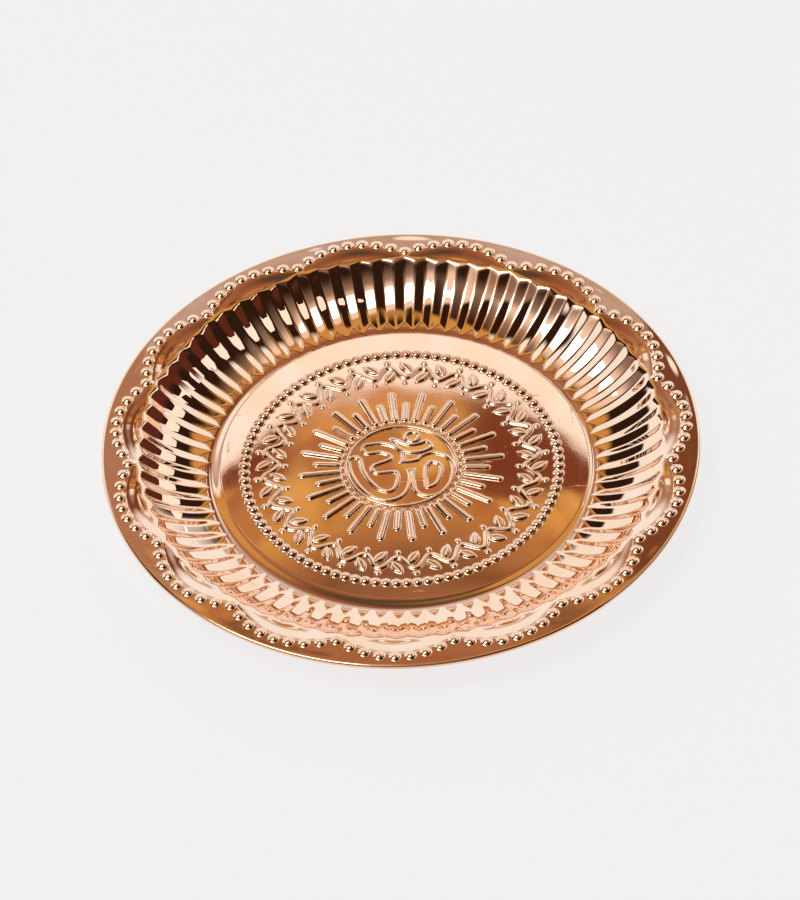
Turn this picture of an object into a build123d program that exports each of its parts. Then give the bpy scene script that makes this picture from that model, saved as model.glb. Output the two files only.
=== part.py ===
from build123d import *
import os
from math import asin, cos, degrees, pi, radians, sin, sqrt

# A puja thali: one copper sheet pressed between two dies, with its outer edge curled round a wire hoop.
# Millimetres. The origin is at the middle of the foot ring's underside, +Z is up, +Y is the top of the sign.

# Overall
outer_diameter = 250
depth = 15.5
sheet = 0.5

# Rim's curled edge and the wire in it
rim_width = 15.6
wire_diameter = 1.2
wire_clearance = 0.02
wire_butt_gap = 1.5
curl_turn = 275

# Scalloped chain of beads, placed by shares of the rim's width from its inner edge
lobe_count = 15
lobe_beads = 8
lobe_start = 15
cusp_share = 0.27
crest_share = 0.68
rim_bead_width = 3.6
rim_bead_height = 1.3

# Fluted wall
wall_run = 26.4
wall_radius = 45
rib_count = 72
rib_width = 4.4
rib_height = 1.7
rib_foot_margin = 1.0

# Foot ring, and the shoulder up to the base panel
foot_width = 1.8
foot_drop = 0.8
shoulder_run = 1.4

# Ring of beads, placed by a share of the panel's radius
bead_ring_share = 0.828
ring_bead_width = 3.7
ring_bead_height = 1.3
ring_bead_pitch = 4.33

# Creeper band, between shares of the panel's radius
band_inner_share = 0.605
band_outer_share = 0.775
wave_count = 24
leaf_width = 3.2
band_dot_width = 2.2
band_dot_height = 0.9

# Sun rays, between shares of the panel's radius
ray_pairs = 20
ray_start = 4
ray_root_share = 0.325
long_tip_share = 0.54
short_tip_share = 0.462
ray_width = 2.8
ray_height = 1.0

# Raised lines of the sun disc's ring, the sign on the disc and the creeper's stem
disc_ring_share = 0.288
sign_reach_share = 0.252
sign_stroke = 4.8
line_width = 1.5
line_height = 0.7

# Each die runs this far past the sheet
overrun = 4

# The sign's strokes, the half moon's outline and the dot, in shares of the sign's reach
upper_bowl_shares = [
    (-0.66, 0.53),
    (-0.40, 0.55),
    (-0.17, 0.42),
    (-0.09, 0.22),
    (-0.20, 0.05),
    (-0.47, -0.06),
]
lower_bowl_shares = [
    (-0.47, -0.06),
    (-0.14, -0.02),
    (0.00, -0.22),
    (-0.01, -0.58),
    (-0.24, -0.83),
    (-0.56, -0.75),
    (-0.80, -0.44),
    (-0.92, 0.12),
]
tail_shares = [
    (-0.14, -0.02),
    (0.22, -0.01),
    (0.46, 0.10),
    (0.68, 0.19),
    (0.88, 0.06),
    (0.93, -0.28),
]
loop_shares = [
    (0.93, -0.28),
    (0.81, -0.62),
    (0.58, -0.76),
    (0.41, -0.62),
    (0.39, -0.34),
    (0.46, 0.10),
]
sign_shares = [upper_bowl_shares, lower_bowl_shares, tail_shares, loop_shares]
moon_shares = [
    [(-0.19, 0.77), (0.24, 0.59), (0.55, 0.70)],
    [(0.55, 0.70), (0.66, 0.50)],
    [(0.66, 0.50), (0.25, 0.37), (-0.19, 0.77)],
]
dot_share = (0.25, 0.83)
dot_width = 5.4

# One wave of the creeper: shares of the wave's turn and of the band's half width from its middle
stem_shares = [(0, 0), (0.25, 0.45), (0.5, 0), (0.75, -0.45), (1, 0)]
leaf_shares = [((0.06, 0.1), (0.40, -0.88)), ((0.56, -0.1), (0.90, 0.88))]
band_dot_shares = [(0.25, 0.86), (0.75, -0.86)]

# Heights and radii that follow
outer_radius = outer_diameter / 2
panel_top = foot_drop + sheet
rim_top = panel_top + depth
rim_inner = outer_radius - rim_width
foot_outer = rim_inner - wall_run
foot_inner = foot_outer - foot_width
panel_radius = foot_inner - shoulder_run
curl_radius = wire_diameter / 2 + wire_clearance + sheet
curl_middle = outer_radius - curl_radius
curl_height = rim_top - curl_radius
sign_reach = panel_radius * sign_reach_share
ray_root = panel_radius * ray_root_share
bead_ring_radius = panel_radius * bead_ring_share
bead_count = round(2 * pi * bead_ring_radius / ring_bead_pitch)
band_middle = panel_radius * (band_inner_share + band_outer_share) / 2
band_half = panel_radius * (band_outer_share - band_inner_share) / 2

# The wall's section is one arc about this middle, from the foot up to the rim
wall_foot = Vector(foot_outer, sheet)
wall_chord = Vector(rim_inner, rim_top) - wall_foot
wall_across = Vector(-wall_chord.Y, wall_chord.X).normalized()
wall_reach = sqrt(wall_radius**2 - (wall_chord.length / 2) ** 2)
wall_middle = wall_foot + wall_chord * 0.5 + wall_across * wall_reach


def polar(radius, angle):
    return (radius * cos(radians(angle)), radius * sin(radians(angle)))


def on_sign(share):
    return (sign_reach * share[0], sign_reach * share[1])


def on_band(share):
    return polar(band_middle + band_half * share[1], 360 / wave_count * share[0])


def dome_radius(width, height):
    # Radius of the ball whose cap has this width and height
    return (width**2 / 4 + height**2) / (2 * height)


def wall_crossing(radius, height):
    # How far from the plate's axis the wall's arc of this radius passes a height
    return wall_middle.X + sqrt(radius**2 - (wall_middle.Y - height) ** 2)


# One lobe of the scalloped chain, from a cusp round to just before the next
lobe_steps = [bead / lobe_beads for bead in range(lobe_beads)]
lobe_cusp = rim_inner + rim_width * cusp_share
lobe_rise = rim_width * (crest_share - cusp_share)
lobe_places = [polar(lobe_cusp + lobe_rise * sin(pi * step), 360 / lobe_count * step) for step in lobe_steps]


def brush(points, width):
    # A stroke of this width through the points, with round ends
    with BuildSketch() as stroke:
        with BuildLine():
            Spline(*points)
        trace(line_width=width)
        with Locations(points[0], points[-1]):
            Circle(width / 2)
    return stroke.sketch


def ring(radius, width):
    with BuildSketch() as hoop:
        Circle(radius + width / 2)
        Circle(radius - width / 2, mode=Mode.SUBTRACT)
    return hoop.sketch


def sign_lines():
    # The disc's ring and the sign's outline: the strokes drawn wide, less the same strokes drawn narrow
    strokes = [[on_sign(share) for share in shares] for shares in sign_shares]
    with BuildSketch() as lines:
        for points in strokes:
            add(brush(points, sign_stroke + line_width))
        for points in strokes:
            add(brush(points, sign_stroke - line_width), mode=Mode.SUBTRACT)
        for shares in moon_shares:
            add(brush([on_sign(share) for share in shares], line_width))
        with Locations(on_sign(dot_share)):
            add(ring(dot_width / 2, line_width))
        add(ring(panel_radius * disc_ring_share, line_width))
    return lines.sketch


def creeper_lines():
    # The band's wavy stem and its leaves
    with BuildSketch() as wave:
        add(brush([on_band(share) for share in stem_shares], line_width))
        for root, tip in leaf_shares:
            with BuildLine():
                SagittaArc(on_band(root), on_band(tip), leaf_width / 2)
                SagittaArc(on_band(tip), on_band(root), leaf_width / 2)
            make_face()
    with BuildSketch() as band:
        with PolarLocations(0, wave_count):
            add(wave.sketch)
    return band.sketch


def rib_bar(skin):
    # The bar that presses one rib up the wall's arc, from a slanted nose near the foot to the rim's level
    bar_radius = dome_radius(rib_width, rib_height)
    path_radius = wall_radius + bar_radius - rib_height
    nose_angle = asin((foot_outer + rib_foot_margin - wall_middle.X) / wall_radius)
    middle = Vector(wall_middle.X, 0, wall_middle.Y)
    outward = Vector(sin(nose_angle), 0, -cos(nose_angle))
    upward = Vector(cos(nose_angle), 0, sin(nose_angle))
    facing = -(outward + upward).normalized()
    nose = middle + outward * wall_radius - facing * skin
    with BuildPart() as bar:
        with BuildSketch(Plane(middle, x_dir=outward, z_dir=-upward)):
            with Locations((path_radius, 0)):
                Circle(bar_radius - skin)
        revolve(axis=Axis(middle, (0, -1, 0)), revolution_arc=90 - degrees(nose_angle))
        split(bisect_by=Plane(nose, z_dir=facing), keep=Keep.BOTTOM)
        split(bisect_by=Plane.XY.offset(rim_top - skin), keep=Keep.BOTTOM)
    return bar.part


def ray_bar(tip, skin):
    # The round-ended bar along +X that presses one ray
    ball = dome_radius(ray_width, ray_height)
    level = panel_top + ray_height - ball
    near = (ray_root + ball, level)
    far = (tip - ball, level)
    with BuildPart() as bar:
        with BuildSketch(Plane.XZ):
            with BuildLine():
                root_arc = CenterArc(near, ball - skin, 180, -90)
                tip_arc = CenterArc(far, ball - skin, 90, -90)
                Line(root_arc @ 1, tip_arc @ 0)
                Line(tip_arc @ 1, root_arc @ 0)
            make_face()
        revolve(axis=Axis((0, 0, level), (1, 0, 0)))
    return bar.part


def die(skin, end, mode):
    # One die, from a face of the sheet to its own flat end. The upper die is hollowed where the relief rises,
    # and the lower die carries the same relief, smaller all round by the sheet.
    arc_radius = wall_radius + skin
    foot = (wall_crossing(arc_radius, sheet - skin), sheet - skin)
    brow = (wall_crossing(arc_radius, rim_top - skin), rim_top - skin)
    edge = outer_radius + overrun
    rim_ball = dome_radius(rim_bead_width, rim_bead_height)
    ring_ball = dome_radius(ring_bead_width, ring_bead_height)
    dot_ball = dome_radius(band_dot_width, band_dot_height)
    with BuildPart() as block:
        with BuildSketch(Plane.XZ):
            with BuildLine():
                Polyline((0, end), (0, panel_top - skin), (panel_radius, panel_top - skin))
                Polyline((panel_radius, panel_top - skin), (foot_inner, sheet - skin), foot)
                RadiusArc(foot, brow, -arc_radius)
                Polyline(brow, (edge, rim_top - skin), (edge, end), (0, end))
            make_face()
        revolve(axis=Axis.Z)
        with PolarLocations(0, rib_count):
            add(rib_bar(skin), mode=mode)
        with Locations((0, 0, rim_top + rim_bead_height - rim_ball)):
            with PolarLocations(0, lobe_count, start_angle=lobe_start):
                with Locations(*lobe_places):
                    Sphere(rim_ball - skin, mode=mode)
        with Locations((0, 0, panel_top + ring_bead_height - ring_ball)):
            with PolarLocations(bead_ring_radius, bead_count):
                Sphere(ring_ball - skin, mode=mode)
        with Locations((0, 0, panel_top + band_dot_height - dot_ball)):
            with PolarLocations(0, wave_count):
                with Locations(*[on_band(share) for share in band_dot_shares]):
                    Sphere(dot_ball - skin, mode=mode)
        with PolarLocations(0, ray_pairs, start_angle=ray_start):
            add(ray_bar(panel_radius * long_tip_share, skin), mode=mode)
        with PolarLocations(0, ray_pairs, start_angle=ray_start + 180 / ray_pairs):
            add(ray_bar(panel_radius * short_tip_share, skin), mode=mode)
    return block.part


# The sheet is what the two dies leave between them. The fine raised lines stand on its upper face,
# and its edge is curled down round the wire.
with BuildPart() as thali_sheet:
    with Locations((0, 0, -overrun)):
        Cylinder(curl_middle, rim_top + 2 * overrun, align=(Align.CENTER, Align.CENTER, Align.MIN))
    add(die(0, rim_top + 2 * overrun, Mode.SUBTRACT), mode=Mode.SUBTRACT)
    add(die(sheet, -2 * overrun, Mode.ADD), mode=Mode.SUBTRACT)
    with BuildSketch(Plane.XY.offset(panel_top - sheet / 2)):
        add(sign_lines())
        add(creeper_lines())
    extrude(amount=line_height + sheet / 2)
    with BuildSketch(Plane.XZ):
        with BuildLine():
            outside = CenterArc((curl_middle, curl_height), curl_radius, 90, -curl_turn)
            inside = CenterArc((curl_middle, curl_height), curl_radius - sheet, 90, -curl_turn)
            Line(outside @ 0, inside @ 0)
            Line(outside @ 1, inside @ 1)
        make_face()
    revolve(axis=Axis.Z)

# The hoop in the curl, with its two ends almost meeting
with BuildPart() as edge_wire:
    with BuildSketch(Plane.XZ):
        with Locations((curl_middle, curl_height)):
            Circle(wire_diameter / 2)
    revolve(axis=Axis.Z, revolution_arc=360 - degrees(wire_butt_gap / curl_middle))

os.makedirs("parts", exist_ok=True)
thali_sheet.part.label = "thali_sheet"
export_step(thali_sheet.part, "parts/thali_sheet.step")
edge_wire.part.label = "edge_wire"
export_step(edge_wire.part, "parts/edge_wire.step")
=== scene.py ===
import math

import bpy
from mathutils import Matrix, Vector


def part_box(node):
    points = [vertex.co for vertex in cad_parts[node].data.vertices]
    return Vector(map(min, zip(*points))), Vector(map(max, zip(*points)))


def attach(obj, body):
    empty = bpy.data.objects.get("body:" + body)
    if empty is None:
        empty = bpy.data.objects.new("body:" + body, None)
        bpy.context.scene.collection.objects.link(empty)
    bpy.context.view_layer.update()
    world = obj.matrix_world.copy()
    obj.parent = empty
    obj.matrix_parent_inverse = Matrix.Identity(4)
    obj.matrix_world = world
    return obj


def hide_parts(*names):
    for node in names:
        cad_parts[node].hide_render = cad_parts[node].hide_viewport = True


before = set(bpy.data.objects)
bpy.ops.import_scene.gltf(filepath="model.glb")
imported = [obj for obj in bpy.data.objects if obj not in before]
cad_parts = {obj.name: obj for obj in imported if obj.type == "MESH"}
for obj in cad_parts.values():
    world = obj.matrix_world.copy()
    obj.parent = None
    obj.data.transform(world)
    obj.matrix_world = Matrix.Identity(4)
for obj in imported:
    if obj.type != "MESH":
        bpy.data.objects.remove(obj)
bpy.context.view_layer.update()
mm = 0.001  # the trees work in millimetres and end in metres
turn = 2 * math.pi
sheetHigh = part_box("thali_sheet")[1]
meshing = {"mergeReach": 0.001, "curveSteps": 10, "sharpAngle": math.radians(60)}

# sizes that several pieces of the pressed sheet share, in millimetres
plate = {
    "outerRadius": sheetHigh.x / mm,
    "sheet": 0.5,
    "rimTop": 16.8,
    "panelTop": 0.9,
    "footTop": 0.53,
    "discEdge": 24.0,
    "rayEdge": 45.0,
    "bandEdge": 63.4,
    "footEdge": 80.0,
    "browEdge": 112.0,
    "curlRadius": 1.12,
}
curlMiddle = plate["outerRadius"] - plate["curlRadius"]
print("frame loaded, plate radius", round(plate["outerRadius"], 2), "mm")


# a number or field in a node tree, so that sums read as formulas
class Num:
    def __init__(self, tree, socket):
        self.tree = tree
        self.socket = socket

    def calc(self, operation, *terms):
        return calc(self.tree, operation, self, *terms)

    def __add__(self, other):
        return self.calc("ADD", other)

    def __radd__(self, other):
        return self.calc("ADD", other)

    def __sub__(self, other):
        return self.calc("SUBTRACT", other)

    def __rsub__(self, other):
        return calc(self.tree, "SUBTRACT", other, self)

    def __mul__(self, other):
        return self.calc("MULTIPLY", other)

    def __rmul__(self, other):
        return self.calc("MULTIPLY", other)

    def __truediv__(self, other):
        return self.calc("DIVIDE", other)

    def __rtruediv__(self, other):
        return calc(self.tree, "DIVIDE", other, self)

    def square(self):
        return self.calc("MULTIPLY", self)

    def root(self):
        return self.calc("MAXIMUM", 0.0).calc("SQRT")

    def wrap(self, span):
        return self.calc("WRAP", span / 2, span / -2)  # into plus or minus half a span

    def ramp(self, low, high):
        node = self.tree.nodes.new("ShaderNodeMapRange")
        node.interpolation_type = "SMOOTHSTEP"
        feed(self.tree, node.inputs["Value"], self)
        feed(self.tree, node.inputs["From Min"], low)
        feed(self.tree, node.inputs["From Max"], high)
        return Num(self.tree, node.outputs["Result"])


def feed(tree, socket, term):
    if isinstance(term, Num):
        tree.links.new(term.socket, socket)
    else:
        socket.default_value = term


def calc(tree, operation, *terms):
    node = tree.nodes.new("ShaderNodeMath")
    node.operation = operation
    for socket, term in zip(node.inputs, terms):
        feed(tree, socket, term)
    return Num(tree, node.outputs[0])


def hypot(a, b):
    return (a.square() + b.square()).root()


def addNode(tree, kind, **settings):
    node = tree.nodes.new(kind)
    for name, value in settings.items():
        setattr(node, name, value)
    return node


def mix(tree, share, first, second):
    # two colours mixed by a share from 0 to 1
    node = addNode(tree, "ShaderNodeMix", data_type="RGBA")
    feed(tree, node.inputs[0], share)
    for socket, colour in ((node.inputs[6], first), (node.inputs[7], second)):
        if isinstance(colour, tuple):
            socket.default_value = colour
        else:
            tree.links.new(colour, socket)
    return node.outputs[2]


def join(tree, x, y, z):
    node = addNode(tree, "ShaderNodeCombineXYZ")
    for socket, term in zip(node.inputs, (x, y, z)):
        feed(tree, socket, term)
    return node.outputs[0]


def newTree(name, sizes):
    # a tree with one named input for each size
    tree = bpy.data.node_groups.new(name, "GeometryNodeTree")
    tree.interface.new_socket("Geometry", in_out="OUTPUT", socket_type="NodeSocketGeometry")
    for key, value in sizes.items():
        kind = "NodeSocketFloat"
        if isinstance(value, int):
            kind = "NodeSocketInt"
        if isinstance(value, bpy.types.Object):
            kind = "NodeSocketObject"
        tree.interface.new_socket(key, in_out="INPUT", socket_type=kind)
    sockets = addNode(tree, "NodeGroupInput").outputs
    return tree, {key: Num(tree, sockets[key]) for key in sizes}


def makePiece(name, tree, sizes, material):
    # runs the tree on an empty mesh, keeps the result as a plain mesh and seats it in the frame
    start = bpy.data.meshes.new(name)
    piece = bpy.data.objects.new(name, start)
    bpy.context.scene.collection.objects.link(piece)
    modifier = piece.modifiers.new("shape", "NODES")
    modifier.node_group = tree
    for item in tree.interface.items_tree:
        if item.in_out == "INPUT":
            modifier[item.identifier] = sizes[item.name]
    graph = bpy.context.evaluated_depsgraph_get()
    shaped = bpy.data.meshes.new_from_object(piece.evaluated_get(graph), depsgraph=graph)
    piece.modifiers.clear()
    piece.data = shaped
    bpy.data.meshes.remove(start)
    shaped.name = name
    shaped.materials.clear()
    shaped.materials.append(material)
    shaped.set_sharp_from_angle(angle=meshing["sharpAngle"])
    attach(piece, "root")
    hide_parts("thali_sheet")
    shaped.calc_loop_triangles()
    print(name, "made,", len(shaped.loop_triangles), "triangles")


def finishTree(tree, geometry, material):
    merge = addNode(tree, "GeometryNodeMergeByDistance")
    merge.inputs["Distance"].default_value = meshing["mergeReach"]
    smooth = addNode(tree, "GeometryNodeSetShadeSmooth")
    shrink = addNode(tree, "GeometryNodeTransform")
    shrink.inputs["Scale"].default_value = (mm, mm, mm)
    realize = addNode(tree, "GeometryNodeRealizeInstances")
    paint = addNode(tree, "GeometryNodeSetMaterial")
    paint.inputs["Material"].default_value = material
    output = addNode(tree, "NodeGroupOutput")
    last = geometry
    for node in (merge, smooth, shrink, realize, paint, output):
        tree.links.new(last, node.inputs[0])
        last = node.outputs[0] if node.outputs else None


def gridOf(tree, across, along):
    # a unit grid, with each vertex's place on it from 0 to 1
    grid = addNode(tree, "GeometryNodeMeshGrid")
    feed(tree, grid.inputs["Vertices X"], across + 1)
    feed(tree, grid.inputs["Vertices Y"], along + 1)
    parts = addNode(tree, "ShaderNodeSeparateXYZ")
    tree.links.new(addNode(tree, "GeometryNodeInputPosition").outputs[0], parts.inputs[0])
    return grid.outputs["Mesh"], Num(tree, parts.outputs[0]) + 0.5, Num(tree, parts.outputs[1]) + 0.5


def placed(tree, mesh, x, y, z):
    move = addNode(tree, "GeometryNodeSetPosition")
    tree.links.new(mesh, move.inputs["Geometry"])
    tree.links.new(join(tree, x, y, z), move.inputs["Position"])
    return move.outputs[0]


def flipped(tree, mesh):
    flip = addNode(tree, "GeometryNodeFlipFaces")
    tree.links.new(mesh, flip.inputs[0])
    return flip.outputs[0]


def foldedGrid(tree, columns, outRows, backRows):
    # a closed ring: rows run out over one face, round its edge, back over the other face and round again
    rows = outRows + backRows + 2
    mesh, across, along = gridOf(tree, columns, rows)
    row = (along * rows).calc("ROUND")
    turned = row.calc("GREATER_THAN", outRows + 0.5)
    closing = row.calc("GREATER_THAN", outRows + backRows + 1.5)
    back = turned - closing
    backShare = 1 - (row - outRows - 1) / backRows
    share = row / outRows * (1 - turned) + backShare * back
    return mesh, share, across * turn, back


def pressRing(name, sizes, height, material):
    # height gives a face's level from the radius and angle, and the sheet's thickness along the axis
    tree, size = newTree(name, sizes)
    mesh, share, angle, under = foldedGrid(tree, size["columns"], size["topRows"], size["underRows"])
    radius = size["innerRadius"] + (size["outerRadius"] - size["innerRadius"]) * share
    x = radius * angle.calc("COSINE")
    y = radius * angle.calc("SINE")
    level, thick = height(size, radius, angle)
    z = level + ripple(tree, radius, x, y) - under * thick
    finishTree(tree, flipped(tree, placed(tree, mesh, x, y, z)), material)
    makePiece(name, tree, sizes, material)


def cap(distance, width, height, blend):
    # a ball's cap with a soft foot, as a die presses it
    ball = (width * width / 4 + height * height) / (2 * height)
    rise = (ball * ball - distance.square()).root() - (ball - height)
    return rise.calc("SMOOTH_MAX", 0.0, blend)


def fromSpot(radius, angle, spot):
    # distance in plan to a spot on the line where the angle is zero
    return hypot(radius * angle.calc("COSINE") - spot, radius * angle.calc("SINE"))


# the uneven flatness of thin pressed sheet: swells of the panel and the rim, and the radii where they fade
waviness = {
    "detail": 1.0,
    "panel": 0.010,
    "panelPitch": 26.0,
    "panelSeed": 3.0,
    "panelFade": (72.0, 79.0),
    "rim": 0.07,
    "rimPitch": 30.0,
    "rimSeed": 11.0,
    "rimStart": (100.0, 114.0),
    "rimFade": (120.0, 123.5),
}


def ripple(tree, radius, x, y):
    def swell(pitch, seed):
        noise = addNode(tree, "ShaderNodeTexNoise")
        noise.inputs["Scale"].default_value = 1 / pitch
        noise.inputs["Detail"].default_value = waviness["detail"]
        tree.links.new(join(tree, x, y, seed), noise.inputs["Vector"])
        return Num(tree, noise.outputs[0]) - 0.5

    inside = 1 - radius.ramp(*waviness["panelFade"])
    outside = radius.ramp(*waviness["rimStart"]) * (1 - radius.ramp(*waviness["rimFade"]))
    panel = swell(waviness["panelPitch"], waviness["panelSeed"]) * (2 * waviness["panel"]) * inside
    rim = swell(waviness["rimPitch"], waviness["rimSeed"]) * (2 * waviness["rim"]) * outside
    return panel + rim


# polished copper: tint clouds, stains, smudges, fine scratches and grain
copperLook = {
    "pink": (0.95, 0.67, 0.52, 1),
    "gold": (0.93, 0.61, 0.42, 1),
    "stain": (0.66, 0.30, 0.15, 1),
    "stainDepth": 0.45,
    "polish": 0.012,
    "smudge": 0.036,
    "grainRough": 0.01,
    "grainBump": 0.1,
    "bump": 0.05,
    "bumpDepth": 0.0001,
}
# each mark's noise, and the levels of it where the mark starts and is full
copperMarks = {
    "clouds": {"scale": 38, "detail": 4, "rough": 0.5, "stretch": (1, 1, 1), "levels": (0.35, 0.68)},
    "spots": {"scale": 160, "detail": 5, "rough": 0.65, "stretch": (1, 1, 1), "levels": (0.62, 0.80)},
    "smears": {"scale": 55, "detail": 5, "rough": 0.6, "stretch": (1, 0.35, 1), "levels": (0.48, 0.75)},
    "scratches": {"scale": 420, "detail": 3, "rough": 0.6, "stretch": (1, 0.12, 1), "levels": (0.70, 0.74)},
    "crossing": {"scale": 380, "detail": 3, "rough": 0.6, "stretch": (0.12, 1, 1), "levels": (0.70, 0.74)},
    "grain": {"scale": 900, "detail": 2, "rough": 0.5, "stretch": (1, 1, 1)},
}


def copperMaterial(name, look):
    material = bpy.data.materials.new(name)
    material.use_nodes = True
    tree = material.node_tree
    shader = tree.nodes["Principled BSDF"]
    shader.inputs["Metallic"].default_value = 1.0
    place = addNode(tree, "ShaderNodeTexCoord").outputs["Object"]

    def noise(kind):
        mark = copperMarks[kind]
        mapping = addNode(tree, "ShaderNodeMapping")
        mapping.inputs["Scale"].default_value = mark["stretch"]
        tree.links.new(place, mapping.inputs[0])
        node = addNode(tree, "ShaderNodeTexNoise")
        node.inputs["Scale"].default_value = mark["scale"]
        node.inputs["Detail"].default_value = mark["detail"]
        node.inputs["Roughness"].default_value = mark["rough"]
        tree.links.new(mapping.outputs[0], node.inputs["Vector"])
        return Num(tree, node.outputs[0])

    def marks(kind):
        return noise(kind).ramp(*copperMarks[kind]["levels"])

    tint = mix(tree, marks("clouds"), look["pink"], look["gold"])
    colour = mix(tree, marks("spots") * look["stainDepth"], tint, look["stain"])
    tree.links.new(colour, shader.inputs["Base Color"])
    grain = noise("grain")
    smeared = marks("smears") * (look["smudge"] - look["polish"])
    feed(tree, shader.inputs["Roughness"], smeared + look["polish"] + grain * look["grainRough"])
    bump = addNode(tree, "ShaderNodeBump")
    bump.inputs["Strength"].default_value = look["bump"]
    bump.inputs["Distance"].default_value = look["bumpDepth"]
    feed(tree, bump.inputs["Height"], marks("scratches") + marks("crossing") + grain * look["grainBump"])
    tree.links.new(bump.outputs[0], shader.inputs["Normal"])
    return material


polishedCopper = copperMaterial("polishedCopper", copperLook)
print("copper mixed")

# the sign on the middle disc: hollow strokes by their middle lines, and single lines
signDisc = {
    "radius": plate["discEdge"],
    "columns": 190,
    "sheet": plate["sheet"],
    "level": plate["panelTop"],
    "strokeWidth": 5.2,
    "lineWidth": 1.7,
    "lineHeight": 0.75,
    "lineBlend": 0.2,
    "crossBlend": 0.3,
}
signStrokes = [
    [(-13.5, 10.5), (-8.1, 10.9), (-3.7, 8.7), (-1.8, 5.5), (-3.0, 2.0), (-9.8, -1.1)],
    [(-9.8, -1.1), (-2.2, -0.8), (0.5, -4.2), (0.5, -10.0), (-1.6, -14.8), (-5.6, -16.9),
     (-10.8, -15.4), (-15.4, -10.1), (-18.7, -3.0), (-19.8, 3.5)],
    [(-1.0, -0.3), (3.9, -0.2), (8.3, 0.9), (10.5, 3.3), (13.6, 4.1), (17.6, 1.9), (19.1, -2.5),
     (18.2, -8.5), (15.8, -13.1), (11.6, -15.4), (8.0, -14.2), (7.2, -10.1), (7.2, -5.2), (7.7, -0.8)],
]
signLines = [
    [(-3.7, 15.7), (-1.0, 14.5), (2.3, 12.4), (5.0, 12.0), (8.3, 12.7), (10.7, 13.8)],
    [(10.7, 13.8), (12.4, 12.2), (13.0, 10.0)],
    [(13.0, 10.0), (9.6, 8.0), (5.6, 7.4), (2.3, 8.0), (-0.4, 9.8), (-2.9, 13.6), (-3.7, 15.7)],
]
dotCircle = {"middle": (5.0, 16.5), "radius": 2.8, "points": 24}
discCircle = {"middle": (0.0, 0.0), "radius": 22.9, "points": 96}


def circlePoints(circle):
    x, y = circle["middle"]
    reach = circle["radius"]
    angles = [turn * step / circle["points"] for step in range(circle["points"] + 1)]
    return [(x + reach * math.cos(angle), y + reach * math.sin(angle)) for angle in angles]


def drawLines(name, lines):
    # a scratch curve in millimetres, read by the disc's tree and then deleted
    curve = bpy.data.curves.new(name, "CURVE")
    curve.dimensions = "3D"
    for points in lines:
        spline = curve.splines.new("POLY")
        spline.points.add(len(points) - 1)
        for spot, (x, y) in zip(spline.points, points):
            spot.co = (x, y, 0, 1)
    drawing = bpy.data.objects.new(name, curve)
    bpy.context.scene.collection.objects.link(drawing)
    return drawing


def distanceTo(tree, drawing, x, y):
    # distance in plan to the smooth curves through the drawing's points
    info = addNode(tree, "GeometryNodeObjectInfo")
    tree.links.new(drawing.socket, info.inputs["Object"])
    rounded = addNode(tree, "GeometryNodeCurveSplineType", spline_type="CATMULL_ROM")
    finer = addNode(tree, "GeometryNodeSetSplineResolution")
    finer.inputs["Resolution"].default_value = meshing["curveSteps"]
    wire = addNode(tree, "GeometryNodeCurveToMesh")
    near = addNode(tree, "GeometryNodeProximity", target_element="EDGES")
    last = info.outputs["Geometry"]
    for node in (rounded, finer, wire, near):
        tree.links.new(last, node.inputs[0])
        last = node.outputs[0]
    tree.links.new(join(tree, x, y, 0.0), near.inputs["Sample Position"])
    return Num(tree, near.outputs["Distance"])


def makeSignDisc():
    strokes = drawLines("strokes", signStrokes)
    lines = drawLines("lines", signLines + [circlePoints(dotCircle), circlePoints(discCircle)])
    sizes = dict(signDisc, strokes=strokes, lines=lines)
    tree, size = newTree("signDisc", sizes)
    mesh, across, along = gridOf(tree, size["columns"], size["columns"])
    a = across * 2 - 1
    b = along * 2 - 1
    x = a * (1 - b.square() / 2).root() * size["radius"]  # the square grid bent to a round disc
    y = b * (1 - a.square() / 2).root() * size["radius"]
    outline = (distanceTo(tree, size["strokes"], x, y) - size["strokeWidth"] / 2).calc("ABSOLUTE")
    single = distanceTo(tree, size["lines"], x, y)
    ridge = outline.calc("SMOOTH_MIN", single, size["crossBlend"])
    relief = cap(ridge, size["lineWidth"], size["lineHeight"], size["lineBlend"])
    top = placed(tree, mesh, x, y, size["level"] + relief + ripple(tree, hypot(x, y), x, y))
    drop = addNode(tree, "GeometryNodeExtrudeMesh")
    drop.inputs["Individual"].default_value = False
    tree.links.new(top, drop.inputs["Mesh"])
    tree.links.new(join(tree, 0.0, 0.0, -1.0), drop.inputs["Offset"])
    feed(tree, drop.inputs["Offset Scale"], size["sheet"])
    both = addNode(tree, "GeometryNodeJoinGeometry")
    tree.links.new(top, both.inputs[0])
    tree.links.new(flipped(tree, drop.outputs["Mesh"]), both.inputs[0])
    finishTree(tree, both.outputs[0], polishedCopper)
    makePiece("signDisc", tree, sizes, polishedCopper)
    for drawing in (strokes, lines):
        bpy.data.curves.remove(drawing.data)


makeSignDisc()

# twenty long and twenty short rays round the disc, with small dots between their roots
sunRays = {
    "innerRadius": plate["discEdge"],
    "outerRadius": plate["rayEdge"],
    "columns": 880,
    "topRows": 60,
    "underRows": 30,
    "level": plate["panelTop"],
    "sheet": plate["sheet"],
    "start": math.radians(4),
    "pitch": math.radians(18),
    "rayRoot": 27.2,
    "longTip": 41.8,
    "shortTip": 35.6,
    "rayWidth": 2.8,
    "rayHeight": 1.0,
    "rayBlend": 0.25,
    "dotRadius": 25.2,
    "dotWidth": 1.6,
    "dotHeight": 0.4,
    "dotBlend": 0.15,
}


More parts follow.
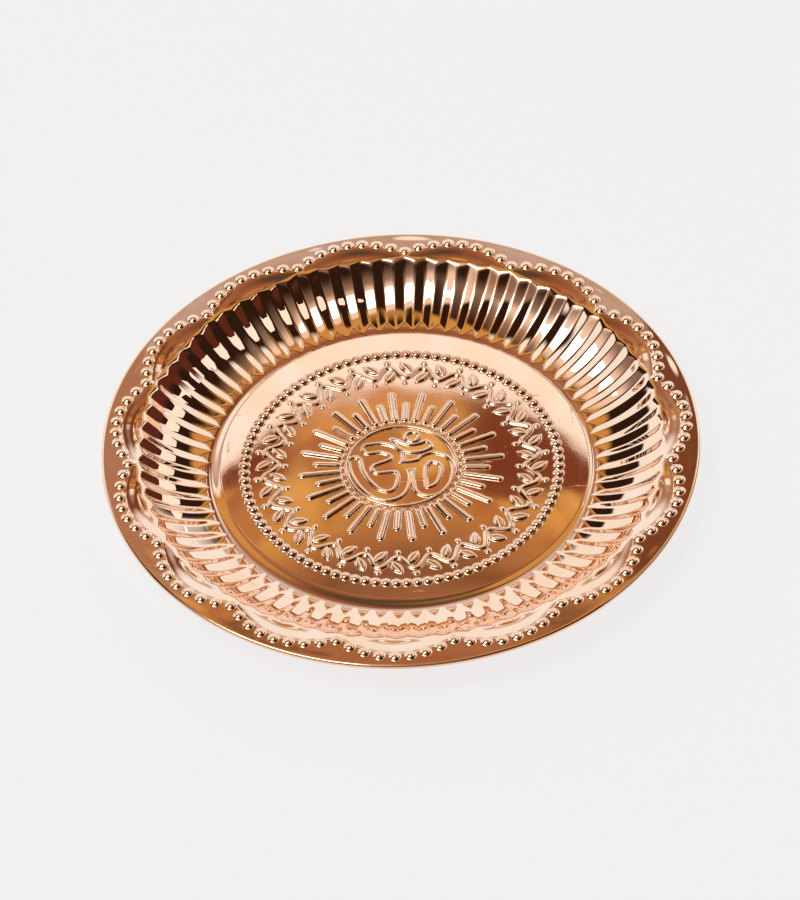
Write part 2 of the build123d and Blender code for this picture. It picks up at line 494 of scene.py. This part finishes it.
def rayHeights(size, radius, angle):
    def toRay(offset, tip):
        swing = (angle - size["start"] - offset).wrap(size["pitch"])
        reach = radius * swing.calc("COSINE")
        past = (size["rayRoot"] - reach).calc("MAXIMUM", reach - tip).calc("MAXIMUM", 0.0)
        return hypot(past, radius * swing.calc("SINE"))

    nearest = toRay(0.0, size["longTip"]).calc("MINIMUM", toRay(size["pitch"] / 2, size["shortTip"]))
    swing = (angle - size["start"] - size["pitch"] / 4).wrap(size["pitch"] / 2)
    toDot = fromSpot(radius, swing, size["dotRadius"])
    dots = cap(toDot, size["dotWidth"], size["dotHeight"], size["dotBlend"])
    rays = cap(nearest, size["rayWidth"], size["rayHeight"], size["rayBlend"])
    return size["level"] + rays + dots, size["sheet"]


pressRing("sunRays", sunRays, rayHeights, polishedCopper)

# a creeper of twenty four waves, each with two leaves and two dots
creeperBand = {
    "innerRadius": plate["rayEdge"],
    "outerRadius": plate["bandEdge"],
    "columns": 1152,
    "topRows": 52,
    "underRows": 26,
    "level": plate["panelTop"],
    "sheet": plate["sheet"],
    "pitch": math.radians(15),
    "middle": 55.1,
    "halfWidth": 6.8,
    "waveShare": 0.45,
    "stemWidth": 1.9,
    "stemHeight": 0.75,
    "stemBlend": 0.2,
    "leafWidth": 4.2,
    "leafHeight": 0.85,
    "leafBlend": 0.2,
    "leafFoot": -0.15,
    "leafCrown": 0.75,
    "veinWidth": 0.45,
    "veinDepth": 0.3,
    "veinFrom": 0.4,
    "veinFull": 0.9,
    "dotWidth": 2.2,
    "dotHeight": 0.8,
    "dotBlend": 0.15,
}
# roots and tips of the leaves, and the dots, as shares of the wave and of the half width
leafShares = [((0.06, 0.10), (0.40, -0.88)), ((0.56, -0.10), (0.90, 0.88))]
bandDotShares = [(0.25, 0.86), (0.75, -0.86)]


def creeperHeights(size, radius, angle):
    share = (angle / size["pitch"]).calc("FRACT")
    wave = size["middle"] * size["pitch"]
    across = share * wave
    up = radius - size["middle"]
    swing = size["halfWidth"] * size["waveShare"]
    slope = swing * (share * turn).calc("COSINE") * (turn / wave)
    toStem = (up - swing * (share * turn).calc("SINE")) / (slope.square() + 1).root()
    relief = cap(toStem, size["stemWidth"], size["stemHeight"], size["stemBlend"])
    for root, tip in leafShares:
        alongX = wave * (tip[0] - root[0])
        alongY = size["halfWidth"] * (tip[1] - root[1])
        length = hypot(alongX, alongY)
        fromX = across - wave * root[0]
        fromY = up - size["halfWidth"] * root[1]
        alongShare = (fromX * alongX + fromY * alongY) / length.square()
        side = (fromX * alongY - fromY * alongX) / length
        bulge = (1 - (alongShare * 2 - 1).square()) * size["leafWidth"] / 2
        off = side.calc("ABSOLUTE")
        edge = bulge - off
        blade = edge.ramp(size["leafFoot"], size["leafCrown"]) * (size["leafHeight"] + size["leafBlend"])
        vein = (1 - off.ramp(0.0, size["veinWidth"])) * edge.ramp(size["veinFrom"], size["veinFull"])
        leaf = blade - size["leafBlend"] - vein * size["veinDepth"]
        relief = relief.calc("SMOOTH_MAX", leaf, size["leafBlend"])
    for spot in bandDotShares:
        gap = hypot(across - wave * spot[0], up - size["halfWidth"] * spot[1])
        relief = relief + cap(gap, size["dotWidth"], size["dotHeight"], size["dotBlend"])
    return size["level"] + relief, size["sheet"]


pressRing("creeperBand", creeperBand, creeperHeights, polishedCopper)

# the ring of beads, the plain border and the shoulder down to the foot
beadRing = {
    "innerRadius": plate["bandEdge"],
    "outerRadius": plate["footEdge"],
    "columns": 1152,
    "topRows": 48,
    "underRows": 24,
    "level": plate["panelTop"],
    "sheet": plate["sheet"],
    "footDrop": plate["panelTop"] - plate["footTop"],
    "shoulderLeast": 0.8,
    "shoulderMost": 6.0,
    "shoulderSide": math.radians(238),
    "pitch": turn / 96,  # ninety six beads
    "beadRadius": 66.1,
    "beadWidth": 4.1,
    "beadHeight": 1.45,
    "beadBlend": 0.25,
}


def beadRingHeights(size, radius, angle):
    spot = fromSpot(radius, angle.wrap(size["pitch"]), size["beadRadius"])
    beads = cap(spot, size["beadWidth"], size["beadHeight"], size["beadBlend"])
    # the panel rolls off further at one side than at the other
    lean = (((angle - size["shoulderSide"]).calc("COSINE") + 1) / 2).square()
    run = size["shoulderLeast"] + (size["shoulderMost"] - size["shoulderLeast"]) * lean
    shoulder = radius.ramp(size["outerRadius"] - run, size["outerRadius"]) * size["footDrop"]
    return size["level"] + beads - shoulder, size["sheet"]


pressRing("beadRing", beadRing, beadRingHeights, polishedCopper)

# the flared rim's level: flat outside the chain of beads, dipping gently inside it
chain = {
    "lobePitch": math.radians(24),
    "lobeStart": math.radians(15),
    "cuspRadius": 113.6,
    "crestRadius": 120.0,
    "rimTop": plate["rimTop"],
    "rimDip": 0.6,
    "dipStart": 1.0,
    "dipEnd": 9.0,
    "beadPitch": math.radians(3),
    "beadWidth": 4.3,
    "beadHeight": 1.2,
    "beadBlend": 0.14,
}


def lobeRadius(size, angle):
    arch = ((angle - size["lobeStart"]) * (math.pi / size["lobePitch"])).calc("SINE").calc("ABSOLUTE")
    return size["cuspRadius"] + (size["crestRadius"] - size["cuspRadius"]) * arch


def rimLevel(size, radius, angle):
    inside = lobeRadius(size, angle) - radius
    return size["rimTop"] - inside.ramp(size["dipStart"], size["dipEnd"]) * size["rimDip"]


def rimBeads(size, radius, angle):
    step = ((angle - size["lobeStart"]) / size["beadPitch"]).calc("ROUND")
    spotAngle = step * size["beadPitch"] + size["lobeStart"]
    spot = fromSpot(radius, angle - spotAngle, lobeRadius(size, spotAngle))
    return cap(spot, size["beadWidth"], size["beadHeight"], size["beadBlend"])


# the fluted wall: pleats with rounded ridges and valleys, from the foot ring up to the brow
flutedWall = dict(chain, **{
    "innerRadius": plate["footEdge"],
    "outerRadius": plate["browEdge"],
    "columns": 1800,
    "topRows": 40,
    "underRows": 12,
    "sheet": plate["sheet"],
    "footTop": plate["footTop"],
    "wallRadius": 45.0,
    "wallMiddle": 74.01,
    "wallHeight": 44.59,
    "ribPitch": math.radians(5),
    "ribStart": math.radians(-0.3),
    "ribDepth": 0.9,
    "depthSpread": 0.07,
    "spreadWaves": 23,
    "ribRound": 0.10,
    "ribStand": 0.5,
    "standStart": 80.2,
    "standRun": 3.0,
    "footLift": 0.14,
    "footRun": 2.8,
    "floorSlope": 0.014,
    "toeBend": 0.12,
    "ribBend": 2.6,
    "fluteBend": 0.5,
    "browStart": 107.0,
    "browEnd": 111.0,
})


def wallHeights(size, radius, angle):
    run = radius - size["wallMiddle"]
    rise = (size["wallRadius"] * size["wallRadius"] - run.square()).root()
    steep = size["wallRadius"] / rise
    side = (angle - size["ribStart"]).wrap(size["ribPitch"]).calc("ABSOLUTE") / (size["ribPitch"] / 2)
    slant = side * (1 + 2 * size["ribRound"]) - size["ribRound"]
    groove = slant.calc("SMOOTH_MAX", 0.0, size["ribRound"]).calc("SMOOTH_MIN", 1.0, size["ribRound"])
    # the flutes differ a little in depth
    uneven = (angle * size["spreadWaves"]).calc("SINE") * size["depthSpread"] + 1
    stand = radius.ramp(size["standStart"], size["standStart"] + size["standRun"]) * size["ribStand"]
    level = size["wallHeight"] - rise + stand - groove * size["ribDepth"] * uneven * steep
    out = radius - size["innerRadius"]
    foot = size["footTop"] + out.ramp(0.0, size["footRun"]) * size["footLift"] + out * size["floorSlope"]
    level = level.calc("SMOOTH_MAX", foot, size["toeBend"])  # the flutes run out on a flat floor
    bend = size["ribBend"] + (size["fluteBend"] - size["ribBend"]) * groove
    level = level.calc("SMOOTH_MIN", rimLevel(size, radius, angle), bend) + rimBeads(size, radius, angle)
    sloping = 1 - radius.ramp(size["browStart"], size["browEnd"])
    thick = size["sheet"] * (1 + (steep - 1) * sloping)  # a slope is thicker along the axis
    return level, thick


pressRing("flutedWall", flutedWall, wallHeights, polishedCopper)

# the rim with its scalloped chain of beads, eight to a lobe
beadedRim = dict(chain, **{
    "innerRadius": plate["browEdge"],
    "outerRadius": curlMiddle,
    "columns": 1680,
    "topRows": 30,
    "underRows": 14,
    "sheet": plate["sheet"],
})


def rimHeights(size, radius, angle):
    return rimLevel(size, radius, angle) + rimBeads(size, radius, angle), size["sheet"]


pressRing("beadedRim", beadedRim, rimHeights, polishedCopper)

# the outer edge, curled down round the wire
rolledEdge = {
    "columns": 720,
    "outerRows": 22,
    "innerRows": 16,
    "middle": curlMiddle,
    "height": plate["rimTop"] - plate["curlRadius"],
    "curlRadius": plate["curlRadius"],
    "sheet": plate["sheet"],
    "curlTurn": math.radians(275),
}


def makeRolledEdge():
    tree, size = newTree("rolledEdge", rolledEdge)
    mesh, share, angle, inner = foldedGrid(tree, size["columns"], size["outerRows"], size["innerRows"])
    reach = size["curlRadius"] - size["sheet"] * inner
    bend = share * size["curlTurn"]
    radius = size["middle"] + reach * bend.calc("SINE")
    z = size["height"] + reach * bend.calc("COSINE")
    curl = placed(tree, mesh, radius * angle.calc("COSINE"), radius * angle.calc("SINE"), z)
    finishTree(tree, flipped(tree, curl), polishedCopper)
    makePiece("rolledEdge", tree, rolledEdge, polishedCopper)


makeRolledEdge()

# the hoop of drawn wire inside the curl stays as the frame has it
wireLook = dict(copperLook, **{
    "pink": (0.80, 0.46, 0.31, 1),
    "gold": (0.72, 0.40, 0.22, 1),
    "polish": 0.22,
    "smudge": 0.4,
})
hoopWire = copperMaterial("hoopWire", wireLook)
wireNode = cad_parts["edge_wire"]
wireNode.data.materials.clear()
wireNode.data.materials.append(hoopWire)
print("wire finished")

# pale floor: mostly even white to the eye and to the copper, with part of its own shading for the shadow
paleFloor = {
    "colour": (0.90, 0.90, 0.90, 1),
    "white": (0.945, 0.945, 0.947, 1),
    "roughness": 0.9,
    "even": 0.82,
    "reach": 3.0,
}


def makeFloor():
    floorMesh = bpy.data.meshes.new("floor")
    far = paleFloor["reach"]
    corners = [(-far, -far, 0), (far, -far, 0), (far, far, 0), (-far, far, 0)]
    floorMesh.from_pydata(corners, [], [(0, 1, 2, 3)])
    floor = bpy.data.objects.new("floor", floorMesh)
    bpy.context.scene.collection.objects.link(floor)
    paper = bpy.data.materials.new("palePaper")
    paper.use_nodes = True
    tree = paper.node_tree
    shader = tree.nodes["Principled BSDF"]
    shader.inputs["Base Color"].default_value = paleFloor["colour"]
    shader.inputs["Roughness"].default_value = paleFloor["roughness"]
    glow = addNode(tree, "ShaderNodeEmission")
    glow.inputs["Color"].default_value = paleFloor["white"]
    ray = addNode(tree, "ShaderNodeLightPath").outputs
    kinds = ("Is Camera Ray", "Is Glossy Ray", "Is Transmission Ray")
    camera, glossy, clear = [Num(tree, ray[kind]) for kind in kinds]
    seen = (camera + glossy + clear).calc("MINIMUM", 1.0)
    blend = addNode(tree, "ShaderNodeMixShader")
    feed(tree, blend.inputs[0], seen * paleFloor["even"])
    tree.links.new(shader.outputs[0], blend.inputs[1])
    tree.links.new(glow.outputs[0], blend.inputs[2])
    tree.links.new(blend.outputs[0], tree.nodes["Material Output"].inputs["Surface"])
    floorMesh.materials.append(paper)


makeFloor()

# the room round the plate, painted by direction: a bright sweep low behind, wood above it, dark elsewhere
roomTones = {
    "dark": (0.030, 0.014, 0.008, 1),
    "maroon": (0.11, 0.032, 0.018, 1),
    "front": (0.46, 0.31, 0.23, 1),
    "amber": (0.66, 0.38, 0.11, 1),
    "halo": (0.34, 0.25, 0.20, 1),
    "fringe": (1.0, 0.86, 0.76, 1),
    "wood": (0.21, 0.064, 0.030, 1),
    "knots": (0.42, 0.16, 0.07, 1),
    "leftPanel": (0.45, 0.26, 0.17, 1),
    "rightPanel": (0.20, 0.075, 0.035, 1),
}
# heights and angles aside in degrees, and the left lamp's place in the way's x and y
roomSizes = {
    "edge": 45.45,
    "edgeCurve": 0.086,
    "edgeLimit": 1.3,
    "grain": 42.0,
    "grainDetail": 1.0,
    "grainDepth": 0.16,
    "knots": 75.0,
    "knotDetail": 2.0,
    "knotDepth": 0.75,
    "woodDip": 0.36,
    "leftEnd": -86.0,
    "leftCut": 46.0,
    "boxX": -0.41,
    "boxY": -0.18,
    "boxReachX": 0.74,
    "boxReachY": 0.56,
    "boxCorner": 0.15,
}
# where each tone starts and is full, or starts to fade and is gone
roomReach = {
    "knotLevel": (0.47, 0.60),
    "knotStart": (0.05, 0.25),
    "knotEnd": (1.5, 1.9),
    "woodLeft": (-2.6, -1.5),
    "woodRight": (0.9, 1.7),
    "woodDip": (0.5, 1.5),
    "woodEdge": (0.0, 0.08),
    "woodEnd": (46.5, 46.7),
    "panelIn": (4.1, 4.6),
    "panelOut": (7.0, 9.0),
    "panelLow": (41.0, 43.0),
    "panelHigh": (50.0, 52.0),
    "amberAside": (9.0, 15.0),
    "amberLow": (45.5, 47.5),
    "leftCut": (12.0, 40.0),
    "leftSoft": (-4.0, 4.0),
    "rightEnd": (45.0, 53.0),
    "boxBack": (0.02, 0.10),
    "halo": (0.5, 1.0),
    "fringe": (0.36, 0.62),
    "maroonSide": (0.60, 0.80),
    "maroonHigh": (26.0, 36.0),
    "frontSide": (-0.75, -0.45),
    "frontHigh": (27.0, 35.0),
    "aloftLow": (58.0, 66.0),
    "aloftHigh": (76.0, 82.0),
    "aloftBack": (0.0, 0.10),
}
# colours by degrees above the sweep's edge
roomBands = [
    (-7.00, (1.02, 1.12, 1.16, 1)),
    (-5.00, (0.72, 0.66, 0.64, 1)),
    (-1.50, (0.54, 0.43, 0.38, 1)),
    (-1.15, (1.10, 1.16, 1.15, 1)),
    (-0.06, (1.10, 1.16, 1.15, 1)),
    (0.08, (0.62, 0.30, 0.13, 1)),
    (0.28, (0.74, 0.44, 0.14, 1)),
    (0.50, (0.46, 0.19, 0.08, 1)),
    (0.72, (0.86, 0.56, 0.17, 1)),
    (1.40, (0.68, 0.39, 0.11, 1)),
    (1.90, (0.44, 0.21, 0.08, 1)),
    (2.30, (0.24, 0.12, 0.06, 1)),
    (2.90, (0.42, 0.20, 0.10, 1)),
    (4.50, (0.38, 0.17, 0.09, 1)),
    (8.00, (0.28, 0.12, 0.055, 1)),
    (11.0, (0.10, 0.075, 0.05, 1)),
]
bandStart = -8.0
bandSpan = 20.0


def makeWorld():
    world = bpy.data.worlds.new("studio")
    bpy.context.scene.world = world
    world.use_nodes = True
    tree = world.node_tree
    way = addNode(tree, "ShaderNodeTexCoord").outputs["Generated"]
    parts = addNode(tree, "ShaderNodeSeparateXYZ")
    tree.links.new(way, parts.inputs[0])
    x, y, z = [Num(tree, socket) for socket in parts.outputs]
    degrees = 360 / turn
    height = z.calc("ARCSINE") * degrees
    aside = x.calc("ARCTAN2", y) * degrees
    out = aside.calc("ABSOLUTE")

    def rise(value, kind):
        return value.ramp(*roomReach[kind])

    def fall(value, kind):
        return 1 - rise(value, kind)

    def paint(share, under, tone):
        return mix(tree, share, under, roomTones[tone])

    def cloud(scale, detail):
        noise = addNode(tree, "ShaderNodeTexNoise")
        noise.inputs["Scale"].default_value = scale
        noise.inputs["Detail"].default_value = detail
        tree.links.new(way, noise.inputs["Vector"])
        return Num(tree, noise.outputs[0])

    # the sweep and the bands of wood above its wavy edge
    wobble = (cloud(roomSizes["grain"], roomSizes["grainDetail"]) - 0.5) * (2 * roomSizes["grainDepth"])
    lift = (aside.square() * roomSizes["edgeCurve"]).calc("MINIMUM", roomSizes["edgeLimit"])
    above = height - roomSizes["edge"] - lift + wobble
    bands = addNode(tree, "ShaderNodeValToRGB")
    stops = bands.color_ramp.elements
    for index, (step, colour) in enumerate(roomBands):
        spot = (step - bandStart) / bandSpan
        stop = stops[index] if index < 2 else stops.new(spot)  # a new ramp has two stops
        stop.position = spot
        stop.color = colour
    feed(tree, bands.inputs[0], (above - bandStart) / bandSpan)
    knots = rise(cloud(roomSizes["knots"], roomSizes["knotDetail"]), "knotLevel")
    knots = knots * rise(above, "knotStart") * fall(above, "knotEnd")
    room = paint(knots * roomSizes["knotDepth"], bands.outputs[0], "knots")

    # dark wood at both sides of the middle, and two warm panels that only the rim's sides mirror
    sides = fall(aside, "woodLeft") + rise(aside, "woodRight")
    lower = height + wobble - rise(aside, "woodDip") * roomSizes["woodDip"]
    wood = sides * rise(above, "woodEdge") * fall(lower, "woodEnd")
    room = paint(wood, room, "wood")
    panel = rise(out, "panelIn") * fall(out, "panelOut")
    panel = panel * rise(height, "panelLow") * fall(height, "panelHigh")
    tone = paint(aside.calc("GREATER_THAN", 0.0), roomTones["leftPanel"], "rightPanel")
    room = mix(tree, panel, room, tone)
    room = paint(rise(out, "amberAside") * rise(height, "amberLow"), room, "amber")
    leftEnd = rise(height, "leftCut") * roomSizes["leftCut"] + roomSizes["leftEnd"]
    behind = rise(aside - leftEnd, "leftSoft") * fall(aside, "rightEnd")

    # the dark rest of the room, with a warm front and a glow round the left lamp
    fromX = ((x - roomSizes["boxX"]) / roomSizes["boxReachX"]).calc("ABSOLUTE")
    fromY = ((y - roomSizes["boxY"]) / roomSizes["boxReachY"]).calc("ABSOLUTE")
    fromBox = fromX.calc("SMOOTH_MAX", fromY, roomSizes["boxCorner"])
    near = fall(y, "boxBack") * z.calc("GREATER_THAN", 0.0)
    shade = paint(rise(x, "maroonSide") * fall(height, "maroonHigh"), roomTones["dark"], "maroon")
    shade = paint(fall(y, "frontSide") * fall(height, "frontHigh"), shade, "front")
    shade = paint(fall(fromBox, "halo") * near, shade, "halo")
    shade = paint(fall(fromBox, "fringe") * near, shade, "fringe")

    # amber high up behind
    aloft = rise(height, "aloftLow") * fall(height, "aloftHigh") * rise(y, "aloftBack")
    sky = paint(aloft, mix(tree, behind, shade, room), "amber")
    tree.links.new(sky, tree.nodes["Background"].inputs["Color"])


makeWorld()

# two soft boxes: a wide one over the left, and a long dim one that leans down behind on the right
leftBox = {
    "place": (-0.81, -0.38, 1.80),
    "along": (1, 0, 0),
    "long": 1.14,
    "short": 0.66,
    "power": 10.0,
}
rightBox = {
    "place": (1.47, 0.56, 1.23),
    "along": (0.08, 0.63, -0.39),
    "long": 1.70,
    "short": 0.42,
    "power": 2.7,
}


def makeLamp(name, size):
    lamp = bpy.data.lights.new(name, "AREA")
    lamp.shape = "RECTANGLE"
    lamp.size = size["long"]
    lamp.size_y = size["short"]
    lamp.energy = size["power"]
    box = bpy.data.objects.new(name, lamp)
    box.location = size["place"]
    back = Vector(size["place"]).normalized()
    along = Vector(size["along"])
    across = (along - back * back.dot(along)).normalized()
    box.rotation_euler = Matrix((across, back.cross(across), back)).transposed().to_euler()
    box.visible_camera = False
    bpy.context.scene.collection.objects.link(box)


makeLamp("leftBox", leftBox)
makeLamp("rightBox", rightBox)
print("studio lit")

# camera at the photograph's angle
view = {
    "distance": 1.875,
    "elevation": 46.15,
    "roll": 2.75,
    "lens": 179.8,
    "sensor": 36,
    "nearest": 0.05,
    "shiftX": -0.0004,
    "shiftY": -0.0113,
}


def makeCamera():
    camera = bpy.data.cameras.new("camera")
    camera.lens = view["lens"]
    camera.sensor_width = view["sensor"]
    camera.shift_x = view["shiftX"]
    camera.shift_y = view["shiftY"]
    camera.clip_start = view["nearest"]
    holder = bpy.data.objects.new("camera", camera)
    tilt = math.radians(view["elevation"])
    aim = Vector((0, 0, plate["rimTop"] * mm))
    holder.location = aim + view["distance"] * Vector((0, -math.cos(tilt), math.sin(tilt)))
    level = (aim - holder.location).to_track_quat("-Z", "Y").to_matrix()
    holder.rotation_euler = (level @ Matrix.Rotation(math.radians(-view["roll"]), 3, "Z")).to_euler()
    bpy.context.scene.collection.objects.link(holder)
    bpy.context.scene.camera = holder


makeCamera()
bpy.context.scene.view_settings.view_transform = "Standard"
print("camera set")
